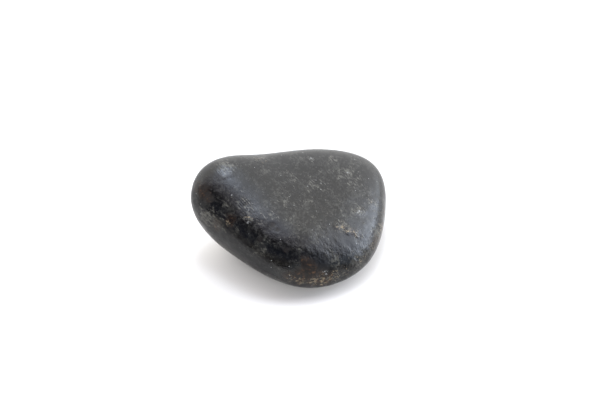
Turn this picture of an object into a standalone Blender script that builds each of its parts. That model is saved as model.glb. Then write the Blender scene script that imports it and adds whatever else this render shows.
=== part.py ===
"""Black tourmaline: one pebble, tumbled smooth and polished.

The stone grew as one piece, so it is one solid.  It has a broad top that leans towards the front
right, a blunt nose that overhangs on the left, a shallow saddle between the two along the back
edge, and a round front shoulder that turns under to the flat where the stone rests.

It is made as a tumbler makes it.  A block is sliced into an even grid, and each point of the grid
goes out from the stone's core until it meets the worn faces, which run into each other over round
edges.  Swells and hollows bend the faces a little, and chips dent them.  The underside is then
ground flat where it rests.

+X runs along the stone, away from the nose.  +Y is the back and +Z is up.  The origin is the
centre of the bounding box, on the ground.  Sizes are in millimetres until the mesh is finished.
"""

import math

import bmesh
import bpy
from mathutils import Vector

METRES_PER_MM = 0.001

# Half of the stone's length, width and height: the grid is stretched to these proportions, so
# that its squares come out even.
HALF_SIZE = (16.0, 13.3, 7.5)
SQUARES_ALONG_EDGE = 27

# The worn faces.  Each has the heading that it faces (0 is +X, 90 is +Y), its tilt above the
# horizon, both in degrees, and its reach, the distance from the core to the face.
WORN_FACES = {
    "top": (-43, 71, 7.2),
    "right": (-15, 27, 18.5),
    "front right": (-53, 45, 13.7),
    "front": (-72, 15, 15.0),
    "front left": (-128, 28, 11.8),
    "nose": (186, 10, 23.7),
    "back left": (115, 14, 11.0),
    "back": (99, 2, 12.6),
    "back right": (71, 4, 22.5),
    "right back": (17, 8, 25.7),
    "right foot": (-11, -11, 20.3),
    "under nose": (-139, -44, 8.9),
    "under front": (-93, -56, 13.6),
    "under right": (13, -62, 14.0),
    "under back": (133, -34, 7.7),
    "base": (33, -89, 5.5),
}
# How tightly one worn face turns into the next.  2 would be a ball, and 50 a cut gem.
EDGE_SHARPNESS = 4.5

# Broad swells and hollows: heading, tilt, spread in degrees, and rise above the worn faces.
SWELLS = {
    "nose knuckle": (155, 40, 16, 0.6),
    "saddle": (95, 55, 24, -0.25),
    "front belly": (-70, 15, 20, 0.4),
    "cheek": (-135, 40, 24, -0.15),
    "back dent": (80, -5, 18, -0.3),
    "heel": (40, -30, 18, 0.15),
    "sole": (-150, -75, 16, -0.1),
}

# Chips that the tumbling left: heading, tilt, radius and depth.
CHIPS = {
    "nose scar": (-169, 30, 1.9, 0.16),
    "nose pit": (-150, 14, 1.5, 0.12),
    "cheek pit": (-140, 26, 1.4, 0.12),
    "front scar": (-75, 0, 2.3, 0.2),
    "front scar middle": (-62, -5, 2.6, 0.24),
    "front scar end": (-50, -8, 2.0, 0.18),
    "shoulder pit": (-98, 30, 1.4, 0.1),
    "right crack": (-25, 4, 1.8, 0.12),
    "right edge pit": (-9, 9, 1.4, 0.1),
    "top pit": (22, 22, 1.8, 0.08),
    "saddle pit": (131, 54, 1.7, 0.08),
    "back scar": (85, -5, 2.6, 0.22),
    "back scar end": (72, -15, 2.0, 0.18),
    "back nose pit": (140, -5, 1.8, 0.14),
    "heel pit": (20, -25, 1.7, 0.14),
    "belly pit": (-110, -50, 2.0, 0.16),
}

# The thickness ground off the underside, which leaves the flat that the stone rests on.
GROUND_OFF = 0.14
# A corner this near the cut is moved onto it, which leaves no splinters.
SNAP_TO_GROUND = 0.02


def clear_scene():
    for leftover in list(bpy.data.objects):
        bpy.data.objects.remove(leftover, do_unlink=True)


def towards(heading, tilt):
    """The unit direction of a heading and a tilt."""
    level = math.cos(math.radians(tilt))
    return Vector((
        level * math.cos(math.radians(heading)),
        level * math.sin(math.radians(heading)),
        math.sin(math.radians(tilt)),
    ))


def worn_reach(direction):
    """How far the core is from the worn faces along a direction, with the edges rounded."""
    pull = 0.0
    for heading, tilt, reach in WORN_FACES.values():
        facing = max(0.0, direction.dot(towards(heading, tilt)))
        pull += (facing / reach) ** EDGE_SHARPNESS
    return pull ** (-1.0 / EDGE_SHARPNESS)


def swell_rise(direction):
    """What the swells and hollows add along a direction."""
    rise = 0.0
    for heading, tilt, spread, height in SWELLS.values():
        away = math.degrees(direction.angle(towards(heading, tilt)))
        rise += height * math.exp(-((away / spread) ** 2))
    return rise


def smooth_surface(direction):
    """The point of the unchipped stone that lies in a direction from the core."""
    return direction * (worn_reach(direction) + swell_rise(direction))


def chip_depth(point, chips):
    """How deep the chips go at a point of the unchipped stone."""
    deepest = 0.0
    for centre, radius, depth in chips:
        away = (point - centre).length / radius
        if away < 1.0:
            deepest = max(deepest, depth * (1.0 - away**2) ** 2)
    return deepest


def sliced_block():
    """A ball of even squares, from a block sliced along its three sides."""
    block = bmesh.new()
    bmesh.ops.create_cube(block, size=2.0)
    bmesh.ops.subdivide_edges(
        block, edges=block.edges, cuts=SQUARES_ALONG_EDGE - 1, use_grid_fill=True
    )
    for corner in block.verts:
        # The tangent keeps the squares near the block's corners as large as those in the middle.
        spread = [math.tan(side * math.pi / 4) for side in corner.co]
        corner.co = Vector(spread).normalized()
    return block


def tumble(stone):
    """Pushes the ball's points out to the worn faces and dents the chips."""
    chips = [
        (smooth_surface(towards(heading, tilt)), radius, depth)
        for heading, tilt, radius, depth in CHIPS.values()
    ]
    for corner in stone.verts:
        direction = Vector(
            side * half for side, half in zip(corner.co, HALF_SIZE)
        ).normalized()
        point = smooth_surface(direction)
        corner.co = point - direction * chip_depth(point, chips)


def grind_flat(stone):
    """Cuts the underside off level and closes the cut."""
    ground = min(corner.co.z for corner in stone.verts) + GROUND_OFF
    cut = bmesh.ops.bisect_plane(
        stone,
        geom=stone.verts[:] + stone.edges[:] + stone.faces[:],
        dist=SNAP_TO_GROUND,
        plane_co=(0.0, 0.0, ground),
        plane_no=(0.0, 0.0, -1.0),
        clear_outer=True,
    )
    rim = [edge for edge in cut["geom_cut"] if isinstance(edge, bmesh.types.BMEdge)]
    for edge in rim:
        for corner in edge.verts:
            corner.co.z = ground
    bmesh.ops.contextual_create(stone, geom=rim)


def stand_at_origin(stone):
    """Moves the middle of the footprint to the origin, and turns millimetres into metres."""
    lowest = [min(corner.co[axis] for corner in stone.verts) for axis in range(3)]
    highest = [max(corner.co[axis] for corner in stone.verts) for axis in range(3)]
    foot = Vector((
        (lowest[0] + highest[0]) / 2,
        (lowest[1] + highest[1]) / 2,
        lowest[2],
    ))
    bmesh.ops.translate(stone, verts=stone.verts, vec=-foot)
    bmesh.ops.scale(stone, verts=stone.verts, vec=(METRES_PER_MM,) * 3)


def polished_schorl():
    """Near-black stone with a soft polish."""
    material = bpy.data.materials.new("polished_black_tourmaline")
    material.use_nodes = True
    shader = material.node_tree.nodes["Principled BSDF"]
    shader.inputs["Base Color"].default_value = (0.012, 0.012, 0.013, 1.0)
    shader.inputs["Roughness"].default_value = 0.3
    shader.inputs["Metallic"].default_value = 0.0
    shader.inputs["IOR"].default_value = 1.64
    return material


def make_stone():
    stone = sliced_block()
    tumble(stone)
    grind_flat(stone)
    bmesh.ops.recalc_face_normals(stone, faces=stone.faces)
    stand_at_origin(stone)

    mesh = bpy.data.meshes.new("black_tourmaline")
    stone.to_mesh(mesh)
    stone.free()
    mesh.shade_smooth()
    mesh.materials.append(polished_schorl())
    pebble = bpy.data.objects.new("black_tourmaline", mesh)
    bpy.context.scene.collection.objects.link(pebble)


clear_scene()
make_stone()
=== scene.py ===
"""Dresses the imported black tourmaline: one tumbled, polished pebble on a plain white table.

Run as a script.  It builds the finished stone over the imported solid, then the table, the light and
the camera.  Sizes are in metres in the settings and in millimetres where a name ends in _MM.
"""

import math

import bmesh
import bpy
from bpy.props import FloatProperty, FloatVectorProperty, IntProperty, PointerProperty
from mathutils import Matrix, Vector, noise
from mathutils.bvhtree import BVHTree


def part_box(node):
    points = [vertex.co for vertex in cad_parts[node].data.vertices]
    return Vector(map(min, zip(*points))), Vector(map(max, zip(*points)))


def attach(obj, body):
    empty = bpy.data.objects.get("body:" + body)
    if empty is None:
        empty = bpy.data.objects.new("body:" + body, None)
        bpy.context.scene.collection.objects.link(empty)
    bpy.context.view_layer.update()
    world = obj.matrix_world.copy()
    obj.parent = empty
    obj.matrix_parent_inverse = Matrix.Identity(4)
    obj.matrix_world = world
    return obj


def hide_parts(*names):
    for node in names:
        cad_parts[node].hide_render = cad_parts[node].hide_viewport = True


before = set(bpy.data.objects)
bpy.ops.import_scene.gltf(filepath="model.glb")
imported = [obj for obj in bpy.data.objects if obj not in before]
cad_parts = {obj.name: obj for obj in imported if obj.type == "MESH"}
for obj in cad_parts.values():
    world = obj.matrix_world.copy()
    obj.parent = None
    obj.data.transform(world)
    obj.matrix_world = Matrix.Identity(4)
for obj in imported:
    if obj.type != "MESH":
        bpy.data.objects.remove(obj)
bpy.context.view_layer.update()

bl_info = {
    "name": "Black Tourmaline Pebble",
    "version": (1, 0, 0),
    "blender": (4, 5, 0),
    "location": "View3D > Sidebar > Tourmaline",
    "description": "Finishes a tumbled black tourmaline and sets it on a white table",
    "category": "Object",
}

STONE_NODE = "black_tourmaline"
STONE_SLOT = "polished_tourmaline"
MM = 0.001


# ---------------------------------------------------------------- settings


class StoneShape(bpy.types.PropertyGroup):
    """Sizes of the relief on the stone."""

    splits: IntProperty(
        name="Splits",
        description="How often each square of the stone is split in four",
        default=2, min=0, max=2,
    )
    wave_height: FloatProperty(
        name="Wave height",
        description="Rise and fall of the broad waves that the tumbling left",
        default=0.00004, min=0.0, unit="LENGTH", precision=6,
    )
    wave_length: FloatProperty(
        name="Wave length",
        description="Distance from one broad wave to the next",
        default=0.0045, min=0.0005, unit="LENGTH", precision=5,
    )
    ripple_height: FloatProperty(
        name="Ripple height",
        description="Rise and fall of the fine ripple in the polish",
        default=0.000008, min=0.0, unit="LENGTH", precision=6,
    )
    ripple_length: FloatProperty(
        name="Ripple length",
        description="Distance from one fine ripple to the next",
        default=0.0012, min=0.0002, unit="LENGTH", precision=5,
    )
    pit_depth: FloatProperty(
        name="Pit depth",
        description="Depth of the deepest pits",
        default=0.000025, min=0.0, unit="LENGTH", precision=6,
    )
    groove_spacing: FloatProperty(
        name="Groove spacing",
        description="Distance between the fine grooves that run along the crystal",
        default=0.00034, min=0.0002, unit="LENGTH", precision=5,
    )
    groove_depth: FloatProperty(
        name="Groove depth",
        description="Depth of the fine grooves",
        default=0.00003, min=0.0, unit="LENGTH", precision=6,
    )


class StoneFinish(bpy.types.PropertyGroup):
    """Colours and polish of the stone."""

    body_colour: FloatVectorProperty(
        name="Body colour",
        description="The black of the mineral",
        subtype="COLOR", default=(0.0010, 0.0010, 0.0012), min=0.0, max=1.0,
    )
    grain_colour: FloatVectorProperty(
        name="Grain colour",
        description="The greenish grey of the fine grain",
        subtype="COLOR", default=(0.0300, 0.0300, 0.0265), min=0.0, max=1.0,
    )
    streak_colour: FloatVectorProperty(
        name="Streak colour",
        description="The grey of the streaks along the crystal",
        subtype="COLOR", default=(0.070, 0.068, 0.058), min=0.0, max=1.0,
    )
    pit_colour: FloatVectorProperty(
        name="Pit colour",
        description="The bottom of the pits",
        subtype="COLOR", default=(0.0050, 0.0030, 0.0018), min=0.0, max=1.0,
    )
    skin_colour: FloatVectorProperty(
        name="Skin colour",
        description="The brown skin of the scars",
        subtype="COLOR", default=(0.019, 0.0105, 0.0050), min=0.0, max=1.0,
    )
    rust_colour: FloatVectorProperty(
        name="Rust colour",
        description="Iron stain in the scars",
        subtype="COLOR", default=(0.070, 0.036, 0.016), min=0.0, max=1.0,
    )
    ochre_colour: FloatVectorProperty(
        name="Ochre colour",
        description="Clay and mica left in the scars",
        subtype="COLOR", default=(0.210, 0.165, 0.105), min=0.0, max=1.0,
    )
    # The pale specks are partly bruised spots and bits of quartz, and partly painted glints.
    pale_colour: FloatVectorProperty(
        name="Pale colour",
        description="Bruised spots and bits of quartz",
        subtype="COLOR", default=(0.24, 0.245, 0.24), min=0.0, max=1.0,
    )
    roughness: FloatProperty(
        name="Roughness",
        description="Roughness of the polish",
        subtype="FACTOR", default=0.21, min=0.0, max=1.0,
    )
    grain_depth: FloatProperty(
        name="Grain depth",
        description="Depth of the finest relief in the polish",
        default=0.000026, min=0.0, unit="LENGTH", precision=6,
    )
    ior: FloatProperty(
        name="Refraction",
        description="Index of refraction of the worn polish",
        default=1.41, min=1.0, max=3.0,
    )


class Studio(bpy.types.PropertyGroup):
    """Table, light and camera."""

    camera_rise: FloatProperty(
        name="Camera rise",
        description="Angle of the camera above the table",
        subtype="ANGLE", default=math.radians(38.0),
    )
    camera_distance: FloatProperty(
        name="Camera distance",
        description="Distance from the camera to what it looks at",
        default=0.2762, min=0.05, unit="LENGTH", precision=4,
    )
    focal_length: FloatProperty(
        name="Focal length",
        description="Lens of the camera, in millimetres",
        default=100.0, min=10.0,
    )
    table_colour: FloatVectorProperty(
        name="Table colour",
        description="Colour of the table",
        subtype="COLOR", default=(0.73, 0.71, 0.68), min=0.0, max=1.0,
    )
    table_size: FloatProperty(
        name="Table size",
        description="Length of a side of the table",
        default=6.0, min=0.1, unit="LENGTH",
    )
    table_glow: FloatProperty(
        name="Table glow",
        description="Light that comes up through the table",
        default=0.065, min=0.0,
    )
    fill_power: FloatProperty(
        name="Fill power",
        description="Power of the lamp in front, in watts",
        default=4.0, min=0.0, max=20.0,
    )
    light_strength: FloatProperty(
        name="Light strength",
        description="Strength of all the light",
        default=1.145, min=0.0,
    )


# ---------------------------------------------------------------- the material

# How the crystal is turned in the stone, in degrees, where its pattern starts, and how far its
# grain is drawn out along it.
CRYSTAL_TURN = (0, 15, -48)
CRYSTAL_PLACE_MM = (3.0, 1.0, 2.0)
CRYSTAL_STRETCH = (2.4, 1.0, 1.0)
# Where the pattern of rust and clay starts, and how far it is drawn out along the stone.
SEAM_PLACE_MM = (11.0, 5.0, 7.0)
SEAM_STRETCH = (2.0, 1.0, 1.0)
# How far broad patches, and marks of the kind "fleck", lift the noise of the grain and streaks;
# along the low right rim the fleck marks also lighten it as a painted reflection of the table.
PATCH_LIFT = 0.06
FLECK_LIFT = 0.16
# Roughness taken off and added where the polish is best and worst, and by marks and stains.
BEST_POLISH = 0.05
WORST_POLISH = 0.08
DULLING = 0.25
BRIGHTENING = 0.09
# How much deeper the fine relief is in the scars.
SCAR_GAIN = 4.5


def link(tree, source, target):
    tree.links.new(source, target)


def put(tree, value, socket):
    """Sets a socket from a number, a colour or another socket."""
    if isinstance(value, bpy.types.NodeSocket):
        tree.links.new(value, socket)
    elif hasattr(value, "__len__") and len(socket.default_value) == 4 and len(value) == 3:
        socket.default_value = (*value, 1.0)
    else:
        socket.default_value = value


def math_node(tree, operation, first, second=None, clamp=False):
    node = tree.nodes.new("ShaderNodeMath")
    node.operation = operation
    node.use_clamp = clamp
    put(tree, first, node.inputs[0])
    if second is not None:
        put(tree, second, node.inputs[1])
    return node.outputs[0]


def blend_colours(tree, share, first, second):
    node = tree.nodes.new("ShaderNodeMix")
    node.data_type = "RGBA"
    put(tree, share, node.inputs["Factor"])
    put(tree, first, node.inputs["A"])
    put(tree, second, node.inputs["B"])
    return node.outputs["Result"]


def scaled(tree, colour, share):
    """A colour times a number; either can be a socket."""
    node = tree.nodes.new("ShaderNodeVectorMath")
    node.operation = "SCALE"
    put(tree, colour, node.inputs[0])
    put(tree, share, node.inputs["Scale"])
    return node.outputs["Vector"]


def step_between(tree, value, low, high, low_out=0.0, high_out=1.0):
    """A soft step from one output to another while the value goes from low to high."""
    node = tree.nodes.new("ShaderNodeMapRange")
    node.interpolation_type = "SMOOTHSTEP"
    put(tree, value, node.inputs["Value"])
    node.inputs["From Min"].default_value = low
    node.inputs["From Max"].default_value = high
    node.inputs["To Min"].default_value = low_out
    node.inputs["To Max"].default_value = high_out
    return node.outputs["Result"]


def speckle(tree, point, per_mm, detail, roughness, shift=0.0):
    """Noise of a number of cells a millimetre, at a point in millimetres."""
    node = tree.nodes.new("ShaderNodeTexNoise")
    node.noise_dimensions = "4D"
    put(tree, point, node.inputs["Vector"])
    node.inputs["W"].default_value = shift
    node.inputs["Scale"].default_value = per_mm
    node.inputs["Detail"].default_value = detail
    node.inputs["Roughness"].default_value = roughness
    return node.outputs["Fac"]


def dust_and_glint_dots(tree, point, per_mm, share, radius):
    """Scattered round grains: the share of the cells that hold one, and its radius in cells."""
    cells = tree.nodes.new("ShaderNodeTexVoronoi")
    put(tree, point, cells.inputs["Vector"])
    cells.inputs["Scale"].default_value = per_mm
    chance = tree.nodes.new("ShaderNodeSeparateColor")
    link(tree, cells.outputs["Color"], chance.inputs["Color"])
    picked = math_node(tree, "LESS_THAN", chance.outputs["Red"], share)
    near = step_between(
        tree, cells.outputs["Distance"], low=radius / 2, high=radius, low_out=1.0, high_out=0.0
    )
    return math_node(tree, "MULTIPLY", picked, near)


def attribute(tree, name):
    node = tree.nodes.new("ShaderNodeAttribute")
    node.attribute_name = name
    return node.outputs["Fac"]


def fleck_group():
    """Breaks a soft stain up into flecks, by a noise that is read at the given point."""
    group = bpy.data.node_groups.new("stain_to_flecks", "ShaderNodeTree")
    face = group.interface
    for name, kind in (
        ("Stain", "NodeSocketFloat"),
        ("Point", "NodeSocketVector"),
        ("Cells per mm", "NodeSocketFloat"),
        ("Cover", "NodeSocketFloat"),
    ):
        face.new_socket(name, in_out="INPUT", socket_type=kind)
    face.new_socket("Flecks", in_out="OUTPUT", socket_type="NodeSocketFloat")
    inside = group.nodes.new("NodeGroupInput")
    outside = group.nodes.new("NodeGroupOutput")
    grains = group.nodes.new("ShaderNodeTexNoise")
    grains.inputs["Detail"].default_value = 3.0
    grains.inputs["Roughness"].default_value = 0.7
    link(group, inside.outputs["Point"], grains.inputs["Vector"])
    link(group, inside.outputs["Cells per mm"], grains.inputs["Scale"])
    # A stronger stain lowers the level that a grain has to pass.
    level = math_node(group, "MULTIPLY", inside.outputs["Stain"], inside.outputs["Cover"])
    raised = math_node(group, "ADD", grains.outputs["Fac"], level)
    mask = step_between(group, raised, low=0.66, high=0.82)
    ends = step_between(group, inside.outputs["Stain"], low=0.02, high=0.2)
    link(group, math_node(group, "MULTIPLY", mask, ends), outside.inputs["Flecks"])
    return group


def flecks(tree, group, stain, point, per_mm, cover):
    """A stain broken into flecks: cells a millimetre, and how far full strength helps them."""
    node = tree.nodes.new("ShaderNodeGroup")
    node.node_tree = group
    put(tree, stain, node.inputs["Stain"])
    put(tree, point, node.inputs["Point"])
    node.inputs["Cells per mm"].default_value = per_mm
    node.inputs["Cover"].default_value = cover
    return node.outputs["Flecks"]


def moved(tree, point, place, turn, lengths):
    """The point in a frame that is moved, turned by degrees and measured in lengths."""
    node = tree.nodes.new("ShaderNodeMapping")
    node.vector_type = "TEXTURE"
    node.inputs["Location"].default_value = place
    node.inputs["Rotation"].default_value = [math.radians(angle) for angle in turn]
    node.inputs["Scale"].default_value = lengths
    link(tree, point, node.inputs["Vector"])
    return node.outputs["Vector"]


def stone_colour(tree, finish, in_mm, along, seam_way):
    """The colour of the stone, and the mask of the clay seams in it."""
    # The black body, with a fine greenish grain and a few drawn-out grey streaks.
    patches = step_between(
        tree, speckle(tree, in_mm, per_mm=0.45, detail=2.0, roughness=0.6, shift=1.0),
        low=0.3, high=0.7, low_out=-PATCH_LIFT, high_out=PATCH_LIFT,
    )
    grain = speckle(tree, in_mm, per_mm=2.0, detail=3.0, roughness=0.75)
    grain = step_between(tree, math_node(tree, "ADD", grain, patches), low=0.43, high=0.72)
    colour = blend_colours(tree, grain, finish.body_colour, finish.grain_colour)
    # Fleck marks raise the grey streaks in clusters; along the low right rim they also lighten it as
    # a painted reflection of the table.
    lift = math_node(tree, "MULTIPLY", attribute(tree, "fleck"), FLECK_LIFT)
    clusters = math_node(tree, "ADD", patches, lift)
    streaks = speckle(tree, along, per_mm=3.2, detail=3.0, roughness=0.7, shift=2.0)
    streaks = step_between(tree, math_node(tree, "ADD", streaks, clusters), low=0.61, high=0.73)
    colour = blend_colours(tree, streaks, colour, finish.streak_colour)
    # Dark marks take the grain away: at the scar on the nose, and as painted shade along the dark
    # band in front and low on the sides.
    colour = blend_colours(tree, attribute(tree, "dark"), colour, finish.body_colour)

    # Iron stain in the scars: a dark brown skin, with rusty flecks and darker ones in it.
    group = fleck_group()
    rust = attribute(tree, "rust")
    colour = blend_colours(tree, rust, colour, finish.skin_colour)
    rusty = flecks(tree, group, rust, seam_way, per_mm=2.6, cover=0.24)
    colour = blend_colours(tree, rusty, colour, finish.rust_colour)
    hollows = flecks(tree, group, rust, in_mm, per_mm=2.0, cover=0.33)
    colour = blend_colours(tree, hollows, colour, finish.pit_colour)
    colour = blend_colours(tree, attribute(tree, "pit"), colour, finish.pit_colour)

    # Clay in short level seams, and pale specks in the marked places and scattered all over: partly
    # bits of quartz and dust, partly painted glints.
    seams = flecks(tree, group, attribute(tree, "ochre"), seam_way, per_mm=3.6, cover=0.22)
    worn_off = speckle(tree, in_mm, per_mm=1.6, detail=1.0, roughness=0.5, shift=6.0)
    clay = blend_colours(
        tree, step_between(tree, worn_off, low=0.40, high=0.60),
        finish.ochre_colour, finish.streak_colour,
    )
    colour = blend_colours(tree, seams, colour, clay)
    quartz_and_glints = flecks(tree, group, attribute(tree, "pale"), in_mm, per_mm=2.8, cover=0.22)
    scattered = dust_and_glint_dots(tree, in_mm, per_mm=1.4, share=0.16, radius=0.13)
    specks = math_node(tree, "MAXIMUM", quartz_and_glints, scattered)
    return blend_colours(tree, specks, colour, finish.pale_colour), seams


def stone_roughness(tree, finish, along, seams):
    """The roughness of the polish, which is duller in the stains and low on the sides."""
    wear = speckle(tree, along, per_mm=1.6, detail=4.0, roughness=0.75, shift=4.0)
    rough = step_between(
        tree, wear, low=0.3, high=0.7,
        low_out=finish.roughness - BEST_POLISH, high_out=finish.roughness + WORST_POLISH,
    )
    dull = math_node(tree, "MAXIMUM", attribute(tree, "pit"), attribute(tree, "matt"))
    dull = math_node(tree, "MAXIMUM", seams, dull)
    rough = math_node(tree, "ADD", rough, math_node(tree, "MULTIPLY", dull, DULLING))
    shine = math_node(tree, "MULTIPLY", attribute(tree, "bright"), BRIGHTENING)
    return math_node(tree, "SUBTRACT", rough, shine, clamp=True)


def stone_relief(tree, finish, shape, in_mm, along):
    """Fine relief in millimetres, deeper where the stone is scarred, and short grooves."""
    scarred = math_node(tree, "MAXIMUM", attribute(tree, "rust"), attribute(tree, "ochre"))
    scarred = math_node(tree, "MAXIMUM", attribute(tree, "rough"), scarred)
    fine = speckle(tree, along, per_mm=1.7, detail=3.0, roughness=0.7, shift=9.0)
    gain = math_node(tree, "ADD", math_node(tree, "MULTIPLY", scarred, SCAR_GAIN), 1.0)
    relief = math_node(tree, "MULTIPLY", fine, gain)
    relief = math_node(tree, "MULTIPLY", relief, finish.grain_depth / MM)
    bands = tree.nodes.new("ShaderNodeTexWave")
    bands.bands_direction = "Y"
    link(tree, moved(tree, in_mm, (0, 0, 0), CRYSTAL_TURN, (1, 1, 1)), bands.inputs["Vector"])
    # The texture has 20 / tau bands in a unit at a scale of 1.
    bands.inputs["Scale"].default_value = math.tau / 20 * MM / shape.groove_spacing
    bands.inputs["Distortion"].default_value = 0.8
    groove = math_node(tree, "MULTIPLY", bands.outputs["Fac"], attribute(tree, "groove"))
    groove = math_node(tree, "MULTIPLY", groove, shape.groove_depth / MM)
    return math_node(tree, "SUBTRACT", relief, groove)


def tourmaline_material(finish, shape):
    """Black stone with a soft polish, fine grain, and stains in its scars."""
    material = bpy.data.materials.new(STONE_SLOT)
    material.use_nodes = True
    tree = material.node_tree
    shader = tree.nodes["Principled BSDF"]
    shader.inputs["Metallic"].default_value = 0.0
    shader.inputs["IOR"].default_value = finish.ior

    place = tree.nodes.new("ShaderNodeTexCoord")
    in_mm = moved(tree, place.outputs["Object"], (0, 0, 0), (0, 0, 0), (MM, MM, MM))
    along = moved(tree, in_mm, CRYSTAL_PLACE_MM, CRYSTAL_TURN, CRYSTAL_STRETCH)
    seam_way = moved(tree, in_mm, SEAM_PLACE_MM, (0, 0, 0), SEAM_STRETCH)
    colour, seams = stone_colour(tree, finish, in_mm, along, seam_way)
    link(tree, colour, shader.inputs["Base Color"])
    link(tree, stone_roughness(tree, finish, along, seams), shader.inputs["Roughness"])
    bump = tree.nodes.new("ShaderNodeBump")
    bump.inputs["Strength"].default_value = 1.0
    bump.inputs["Distance"].default_value = MM
    link(tree, stone_relief(tree, finish, shape, in_mm, along), bump.inputs["Height"])
    link(tree, bump.outputs["Normal"], shader.inputs["Normal"])
    return material
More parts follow.
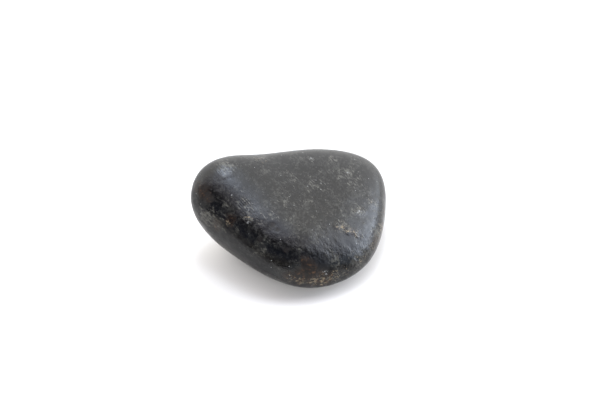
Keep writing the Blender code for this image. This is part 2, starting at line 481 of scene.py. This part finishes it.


# ---------------------------------------------------------------- the stone

# Where the stone is stained, worn, grooved or better polished, and where painted shade, painted
# glints and a painted reflection on the rim lie, seen from its middle: kind, heading (0 is +X, 90 is
# +Y), tilt above the horizon, radius in mm and strength.
MARK_KINDS = ("rust", "ochre", "dark", "fleck", "pale", "rough", "matt", "bright", "groove", "pit")
MARKS = (
    ("rust", -27, -2, 0.6, 0.9),
    ("rust", 88, -8, 1.9, 0.9),
    ("rust", 142, -6, 1.3, 0.8),
    ("rust", -175, 19, 1.2, 0.7),
    ("rust", -179, 19, 0.9, 0.7),
    ("rust", -171, 19, 0.9, 0.6),
    ("rust", -147, 15, 0.8, 0.8),
    ("rust", -154, 6, 1.0, 0.5),
    ("rust", -90, -12, 0.9, 0.7),
    ("rust", -78, -4, 0.8, 0.7),
    ("rust", -76, -8, 1.2, 1.0),
    ("rust", -83, -12, 1.2, 1.0),
    ("rust", -73, -14, 1.2, 1.0),
    ("rust", -65, -17, 1.2, 0.8),
    ("rust", -16, -12, 1.2, 0.5),
    ("ochre", -31, 5, 0.9, 1.0),
    ("ochre", -30, 1, 1.0, 1.0),
    ("ochre", -26, -3, 0.9, 0.9),
    ("ochre", -5, 3, 0.8, 0.8),
    ("ochre", 7, 1, 1.0, 0.7),
    ("ochre", 136, 44, 1.0, 0.8),
    ("ochre", -135, 22, 0.8, 0.8),
    ("ochre", 78, -12, 1.6, 0.8),
    ("ochre", 20, -22, 1.2, 0.7),
    ("ochre", -147, 12, 0.7, 0.9),
    ("ochre", -88, -14, 1.0, 0.7),
    ("ochre", -81, -16, 1.1, 0.8),
    ("ochre", -73, -17, 1.1, 0.9),
    ("ochre", -66, -17, 1.2, 1.0),
    ("ochre", -58, -17, 1.2, 0.9),
    ("ochre", -50, -16, 1.0, 0.6),
    ("ochre", -34, -13, 1.2, 0.6),
    ("ochre", -22, -13, 1.3, 0.7),
    ("ochre", -10, -12, 1.3, 0.8),
    ("ochre", -2, -11, 1.3, 0.9),
    ("ochre", 8, -8, 1.2, 0.7),
    # Dark: the scar on the nose, and painted shade along the dark band in front and low on the
    # sides.
    ("dark", 174, 28, 2.2, 0.6),
    ("dark", -172, 20, 2.0, 0.6),
    ("dark", -141, -6, 3.6, 0.9),
    ("dark", -126, 6, 2.2, 0.5),
    ("dark", -107, -9, 2.6, 0.6),
    ("dark", -92, -2, 2.6, 0.5),
    ("dark", -70, -11, 2.8, 1.0),
    ("dark", -38, -8, 3.0, 0.5),
    ("fleck", 87, 61, 1.6, 0.7),
    ("fleck", -13, 54, 1.9, 0.5),
    ("fleck", -66, 55, 1.3, 0.5),
    ("fleck", 27, 16, 1.8, 1.0),
    ("fleck", 23, 13, 1.4, 1.0),
    ("fleck", 62, 34, 1.1, 0.8),
    ("fleck", 49, 24, 1.0, 0.7),
    ("fleck", -5, 4, 1.3, 0.8),
    ("fleck", 7, 1, 1.3, 1.0),
    ("fleck", -31, 3, 1.8, 0.8),
    ("fleck", -149, 29, 1.2, 0.9),
    ("fleck", -135, 22, 1.3, 0.9),
    ("fleck", -103, 53, 0.8, 0.9),
    ("fleck", 168, 34, 1.8, 0.9),
    ("fleck", 120, 12, 2.0, 0.8),
    ("fleck", 60, 2, 2.2, 0.7),
    # Low on the front right, these also lighten the rim as a painted reflection of the table.
    ("fleck", -66, -13, 2.4, 0.4),
    ("fleck", -36, -14, 2.4, 0.9),
    ("fleck", -12, -11, 2.2, 0.9),
    ("fleck", 4, -9, 2.2, 0.9),
    ("fleck", -160, 10, 2.4, 0.9),
    ("fleck", -124, 23, 1.6, 0.7),
    ("fleck", -112, 4, 1.3, 0.7),
    ("fleck", -113, 25, 1.5, 0.7),
    ("fleck", -57, -8, 1.6, 0.9),
    ("fleck", -140, 4, 2.2, 0.7),
    ("fleck", 22, 40, 2.4, 0.6),
    # Pale specks: partly bruises and bits of quartz, partly painted glints.
    ("pale", -132, 18, 0.4, 1.0),
    ("pale", -162, 29, 0.4, 0.9),
    ("pale", 62, 34, 0.4, 0.9),
    ("pale", 31, 17, 0.5, 0.8),
    ("pale", -6, 3, 0.4, 1.0),
    ("pale", -64, -13, 0.5, 1.0),
    ("pale", 98, 30, 0.5, 0.9),
    ("rough", -125, 8, 2.2, 0.4),
    ("rough", -110, 6, 2.4, 0.5),
    ("rough", -93, 2, 2.6, 0.6),
    ("rough", -80, -1, 2.6, 1.0),
    ("rough", -66, -5, 3.2, 1.0),
    ("rough", -50, -7, 2.4, 0.8),
    ("rough", -174, 20, 2.2, 0.8),
    ("rough", 168, 34, 2.0, 0.7),
    ("rough", -135, 22, 1.6, 0.6),
    ("rough", 9, -4, 1.8, 0.8),
    ("rough", -18, -9, 1.8, 0.8),
    ("rough", 85, -8, 3.4, 0.9),
    ("rough", 140, -4, 2.2, 0.8),
    ("rough", -165, 8, 3.0, 0.7),
    ("rough", -145, 6, 2.6, 0.6),
    ("rough", -100, -8, 2.4, 0.6),
    ("rough", -75, -12, 3.0, 0.9),
    ("rough", -42, -14, 2.6, 0.9),
    ("rough", -22, -13, 2.6, 0.9),
    ("rough", -4, -11, 2.4, 0.8),
    ("rough", 15, 25, 3.5, 0.4),
    ("rough", 40, 30, 3.5, 0.4),
    ("matt", -112, 4, 1.1, 0.7),
    ("matt", -152, -2, 3.2, 0.8),
    ("matt", -135, -8, 3.2, 0.8),
    ("matt", -115, -12, 2.8, 1.0),
    ("matt", -74, -14, 2.8, 0.9),
    ("matt", -174, 12, 2.6, 0.8),
    ("matt", 85, -20, 4.0, 0.9),
    ("bright", 4, -6, 4.0, 1.0),
    ("bright", -18, -9, 4.0, 0.8),
    ("bright", -40, -12, 3.0, 0.8),
    ("groove", -149, 30, 0.9, 1.0),
    ("groove", -139, 26, 0.7, 0.6),
    ("groove", 110, 20, 1.2, 0.8),
    ("pit", -109, 21, 0.40, 1.0),
    ("pit", -102, 17, 0.35, 1.0),
    ("pit", -116, 9, 0.45, 0.8),
    ("pit", -92, 4, 0.40, 0.9),
    ("pit", -78, 6, 0.35, 0.8),
    ("pit", -180, 20, 0.40, 0.8),
    ("pit", -176, 21, 0.50, 0.9),
    ("pit", -172, 20, 0.60, 1.0),
    ("pit", -168, 20, 0.60, 0.9),
    ("pit", 96, 4, 0.50, 0.9),
    ("pit", 60, -4, 0.40, 0.8),
)


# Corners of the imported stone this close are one, and triangles become squares up to this bend
# between them and this skew.
WELD_MM = 0.001
SQUARE_BEND = math.radians(40)
SQUARE_SKEW = math.radians(70)
# A mark is full within the first share of its radius and gone at the second. Noise of this length
# makes its edge ragged by this share.
MARK_CORE = 0.3
MARK_EDGE = 1.6
RAGGED_LENGTH_MM = 1.1
RAGGED_SHARE = 0.5
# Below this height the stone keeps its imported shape, so that it rests as it was packed.
FOOT_MM = 0.6
# How much stronger the ripple is where the stone is worn.
WORN_RIPPLE = 3.0


def smooth(value, low, high):
    """A soft step from 0 to 1 while the value goes from low to high."""
    share = min(1.0, max(0.0, (value - low) / (high - low)))
    return share * share * (3.0 - 2.0 * share)


def towards(heading, tilt):
    """The direction with a heading and a tilt above the horizon, in degrees."""
    level = math.cos(math.radians(tilt))
    return Vector((
        level * math.cos(math.radians(heading)),
        level * math.sin(math.radians(heading)),
        math.sin(math.radians(tilt)),
    ))


def finer_copy(node, name, splits):
    """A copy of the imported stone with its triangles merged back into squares, and split finer."""
    work = bmesh.new()
    work.from_mesh(node.data)
    bmesh.ops.remove_doubles(work, verts=work.verts, dist=WELD_MM * MM)
    bmesh.ops.join_triangles(
        work, faces=work.faces,
        angle_face_threshold=SQUARE_BEND, angle_shape_threshold=SQUARE_SKEW,
    )
    mesh = bpy.data.meshes.new(name)
    work.to_mesh(mesh)
    work.free()
    rough_copy = bpy.data.objects.new(name, mesh)
    bpy.context.scene.collection.objects.link(rough_copy)
    modifier = rough_copy.modifiers.new("Finer squares", "SUBSURF")
    modifier.levels = splits
    modifier.render_levels = splits
    bpy.context.view_layer.update()
    graph = bpy.context.evaluated_depsgraph_get()
    rough_copy.data = bpy.data.meshes.new_from_object(rough_copy.evaluated_get(graph))
    rough_copy.modifiers.clear()
    rough_copy.data.materials.clear()
    return rough_copy


def located_marks(mesh):
    """The marks with their points on the stone."""
    low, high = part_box(STONE_NODE)
    middle = (low + high) / 2
    tree = BVHTree.FromPolygons(
        [v.co for v in mesh.vertices], [p.vertices for p in mesh.polygons]
    )
    reach = (high - low).length
    found = []
    for kind, heading, tilt, radius, strength in MARKS:
        away = towards(heading, tilt)
        hit = tree.ray_cast(middle + away * reach, -away)[0]
        found.append((kind, hit, radius * MM, strength))
    return found


def marks_at(point, marks):
    """How much of each kind of mark there is at a point."""
    found = dict.fromkeys(MARK_KINDS, 0.0)
    ragged = noise.noise(point / (RAGGED_LENGTH_MM * MM)) * RAGGED_SHARE + 1.0
    for kind, centre, radius, strength in marks:
        away = (point - centre).length * ragged
        if away < radius * MARK_EDGE:
            fading = smooth(away, radius * MARK_CORE, radius * MARK_EDGE)
            found[kind] = max(found[kind], strength * (1.0 - fading))
    return found


def carve(stone, shape):
    """Waves, ripple and pits, and the attributes that say where the marks are."""
    mesh = stone.data
    marks = located_marks(mesh)
    normals = [v.normal.copy() for v in mesh.vertices]
    values = {name: [] for name in MARK_KINDS}
    for corner, normal in zip(mesh.vertices, normals):
        point = corner.co.copy()
        found = marks_at(point, marks)
        worn = max(found["rust"], found["ochre"], found["rough"])
        off_ground = smooth(point.z, 0.0, FOOT_MM * MM)
        wave = shape.wave_height * noise.noise(point / shape.wave_length)
        ripple = shape.ripple_height * noise.noise(point / shape.ripple_length)
        ripple *= 1.0 + WORN_RIPPLE * worn
        corner.co = point + normal * off_ground * (wave + ripple - shape.pit_depth * found["pit"])
        for name in MARK_KINDS:
            values[name].append(found[name])
    for name, numbers in values.items():
        layer = mesh.attributes.new(name, "FLOAT", "POINT")
        layer.data.foreach_set("value", numbers)
    mesh.shade_smooth()


class TOURMALINE_OT_dress_stone(bpy.types.Operator):
    """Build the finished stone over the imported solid"""

    bl_idname = "tourmaline.dress_stone"
    bl_label = "Finish the stone"

    def execute(self, context):
        shape = context.scene.stone_shape
        stone = finer_copy(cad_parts[STONE_NODE], "tourmaline_stone", shape.splits)
        carve(stone, shape)
        stone.data.materials.append(tourmaline_material(context.scene.stone_finish, shape))
        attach(stone, "root")
        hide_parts(STONE_NODE)
        return {"FINISHED"}


# ---------------------------------------------------------------- the stage

# Colour of the sky by the angle round from the front horizon, over the top, to the back horizon,
# in degrees.
SKY = (
    (0, (0.02, 0.00, 0.00)),
    (12, (0.03, 0.00, 0.00)),
    (24, (0.50, 0.47, 0.41)),
    (40, (0.19, 0.20, 0.30)),
    (58, (0.14, 0.17, 0.24)),
    (72, (0.03, 0.01, 0.00)),
    (86, (1.24, 1.19, 1.36)),
    (110, (2.27, 2.24, 2.15)),
    (132, (2.40, 2.41, 2.44)),
    (164, (2.20, 2.20, 2.20)),
    (180, (1.78, 1.78, 1.75)),
)
# A ramp's colours stop at 1, so they are divided by this, and the light is scaled back up.
SKY_TOP = 2.5
# Softboxes: heading, tilt, half-width, half-height and edge in degrees, strength and colour.
SOFTBOXES = (
    (12, 27, 12.5, 24, 5, 2.2, (0.85, 0.97, 1.18)),
    (14, 14, 18, 16, 4, 1.9, (0.85, 0.97, 1.18)),
    (98, 72.5, 5.5, 7.6, 6, 10.2, (0.85, 0.97, 1.17)),
    (92, 77, 16, 13, 6, 1.0, (0.80, 0.96, 1.24)),
    (-24, 19, 66.3, 3.0, 6, 1.36, (0.82, 1.00, 1.18)),
)
# A black panel between the table and the right softbox, placed in the same way.
BLACK_PANEL = (12, 4.5, 24, 2.3, 1.5)
# The fill lamp: its heading and tilt in degrees, and its distance and size in metres.
FILL_WAY = (-85, 30)
FILL_DISTANCE = 0.9
FILL_SIZE = 0.6
# A point inside the stone, and how far to the right of it and above it the camera looks.
STONE_POINT_MM = (-0.20, -0.63, 6.58)
LOOK_PAST_MM = (2.875, 2.25)


def along_axis(tree, direction, axis):
    """How far a direction goes along an axis."""
    node = tree.nodes.new("ShaderNodeVectorMath")
    node.operation = "DOT_PRODUCT"
    link(tree, direction, node.inputs[0])
    node.inputs[1].default_value = axis
    return node.outputs["Value"]


def panel(tree, direction, heading, tilt, half_width, half_height, edge):
    """1 towards a panel with faded edges, and 0 elsewhere."""
    ahead = towards(heading, tilt)
    top = towards(heading, tilt + 90)
    ahead_part = along_axis(tree, direction, ahead)
    side_part = along_axis(tree, direction, top.cross(ahead))
    across = math_node(tree, "ABSOLUTE", math_node(tree, "ARCTAN2", side_part, ahead_part))
    up = math_node(tree, "ABSOLUTE", math_node(tree, "ARCSINE", along_axis(tree, direction, top)))
    shares = [
        step_between(
            tree, angle, low=math.radians(half - edge), high=math.radians(half + edge),
            low_out=1.0, high_out=0.0,
        )
        for angle, half in ((across, half_width), (up, half_height))
    ]
    return math_node(tree, "MULTIPLY", *shares)


def studio_sky(studio):
    """Light from all round: dark in front, bright above and behind, with a few softboxes."""
    world = bpy.data.worlds.new("studio")
    bpy.context.scene.world = world
    world.use_nodes = True
    tree = world.node_tree
    background = tree.nodes["Background"]
    place = tree.nodes.new("ShaderNodeTexCoord")
    parts = tree.nodes.new("ShaderNodeSeparateXYZ")
    link(tree, place.outputs["Generated"], parts.inputs["Vector"])
    front = math_node(tree, "MULTIPLY", parts.outputs["Y"], -1.0)
    around = math_node(tree, "ARCTAN2", parts.outputs["Z"], front)
    share = math_node(tree, "DIVIDE", around, math.pi, clamp=True)
    ramp = tree.nodes.new("ShaderNodeValToRGB")
    ramp.color_ramp.interpolation = "EASE"
    stops = ramp.color_ramp.elements
    while len(stops) > 1:
        stops.remove(stops[0])
    for number, (angle, colour) in enumerate(SKY):
        stop = stops[0] if number == 0 else stops.new(angle / 180)
        stop.position = angle / 180
        stop.color = (*(part / SKY_TOP for part in colour), 1.0)
    link(tree, share, ramp.inputs["Fac"])
    light = scaled(tree, ramp.outputs["Color"], SKY_TOP)
    direction = place.outputs["Generated"]
    for *where, strength, colour in SOFTBOXES:
        both = tree.nodes.new("ShaderNodeVectorMath")
        both.operation = "ADD"
        link(tree, light, both.inputs[0])
        box_colour = [part * strength for part in colour]
        link(tree, scaled(tree, box_colour, panel(tree, direction, *where)), both.inputs[1])
        light = both.outputs["Vector"]
    past_panel = math_node(tree, "SUBTRACT", 1.0, panel(tree, direction, *BLACK_PANEL))
    light = scaled(tree, light, past_panel)
    # The camera itself sees a plain pale backdrop where the table ends.
    rays = tree.nodes.new("ShaderNodeLightPath")
    seen = blend_colours(tree, rays.outputs["Is Camera Ray"], light, (1.0, 1.0, 1.0))
    link(tree, seen, background.inputs["Color"])
    background.inputs["Strength"].default_value = studio.light_strength


def table(studio):
    """A plain pale table, at the height of the stone's foot."""
    work = bmesh.new()
    bmesh.ops.create_grid(work, x_segments=1, y_segments=1, size=studio.table_size / 2)
    mesh = bpy.data.meshes.new("table")
    work.to_mesh(mesh)
    work.free()
    piece = bpy.data.objects.new("table", mesh)
    bpy.context.scene.collection.objects.link(piece)
    material = bpy.data.materials.new("white_table")
    material.use_nodes = True
    shader = material.node_tree.nodes["Principled BSDF"]
    shader.inputs["Base Color"].default_value = (*studio.table_colour, 1.0)
    shader.inputs["Roughness"].default_value = 0.6
    shader.inputs["Specular IOR Level"].default_value = 0.0
    shader.inputs["Emission Color"].default_value = (1.0, 1.0, 1.0, 1.0)
    shader.inputs["Emission Strength"].default_value = studio.table_glow
    mesh.materials.append(material)


def fill_lamp(studio):
    """A broad, weak lamp in front, which the polish doesn't mirror."""
    data = bpy.data.lights.new("fill", "AREA")
    data.size = FILL_SIZE
    data.energy = studio.fill_power
    piece = bpy.data.objects.new("fill", data)
    way = towards(*FILL_WAY)
    piece.location = way * FILL_DISTANCE
    piece.rotation_euler = way.to_track_quat("Z", "Y").to_euler()
    piece.visible_glossy = False
    bpy.context.scene.collection.objects.link(piece)


def camera(studio):
    """The camera, level, looking to the back and down at the stone."""
    rise = studio.camera_rise
    back = Vector((0.0, -math.cos(rise), math.sin(rise)))
    right = Vector((1.0, 0.0, 0.0))
    up = back.cross(right)
    look_past = right * LOOK_PAST_MM[0] + up * LOOK_PAST_MM[1]
    target = Vector(STONE_POINT_MM) * MM + look_past * MM
    data = bpy.data.cameras.new("camera")
    data.lens = studio.focal_length
    data.sensor_width = 36.0
    data.clip_start = 0.01
    data.clip_end = 20.0
    piece = bpy.data.objects.new("camera", data)
    piece.location = target + back * studio.camera_distance
    piece.rotation_euler = (math.pi / 2 - rise, 0.0, 0.0)
    bpy.context.scene.collection.objects.link(piece)
    bpy.context.scene.camera = piece


class TOURMALINE_OT_set_stage(bpy.types.Operator):
    """Set the table, the light and the camera"""

    bl_idname = "tourmaline.set_stage"
    bl_label = "Set the stage"

    def execute(self, context):
        studio = context.scene.stone_studio
        table(studio)
        studio_sky(studio)
        fill_lamp(studio)
        camera(studio)
        context.scene.view_settings.view_transform = "Standard"
        return {"FINISHED"}


class TOURMALINE_PT_stone(bpy.types.Panel):
    """The stone's steps and settings"""

    bl_label = "Black Tourmaline"
    bl_idname = "TOURMALINE_PT_stone"
    bl_space_type = "VIEW_3D"
    bl_region_type = "UI"
    bl_category = "Tourmaline"

    def draw(self, context):
        scene = context.scene
        for operator, group in (
            (TOURMALINE_OT_dress_stone, scene.stone_shape),
            (None, scene.stone_finish),
            (TOURMALINE_OT_set_stage, scene.stone_studio),
        ):
            box = self.layout.box()
            for name in group.__annotations__:
                box.prop(group, name)
            if operator:
                box.operator(operator.bl_idname)


CLASSES = (
    StoneShape, StoneFinish, Studio,
    TOURMALINE_OT_dress_stone, TOURMALINE_OT_set_stage, TOURMALINE_PT_stone,
)


def register():
    for entry in CLASSES:
        bpy.utils.register_class(entry)
    bpy.types.Scene.stone_shape = PointerProperty(type=StoneShape)
    bpy.types.Scene.stone_finish = PointerProperty(type=StoneFinish)
    bpy.types.Scene.stone_studio = PointerProperty(type=Studio)


def unregister():
    del bpy.types.Scene.stone_studio
    del bpy.types.Scene.stone_finish
    del bpy.types.Scene.stone_shape
    for entry in reversed(CLASSES):
        bpy.utils.unregister_class(entry)


def main():
    register()
    bpy.ops.tourmaline.dress_stone()
    bpy.ops.tourmaline.set_stage()


if __name__ == "__main__":
    main()
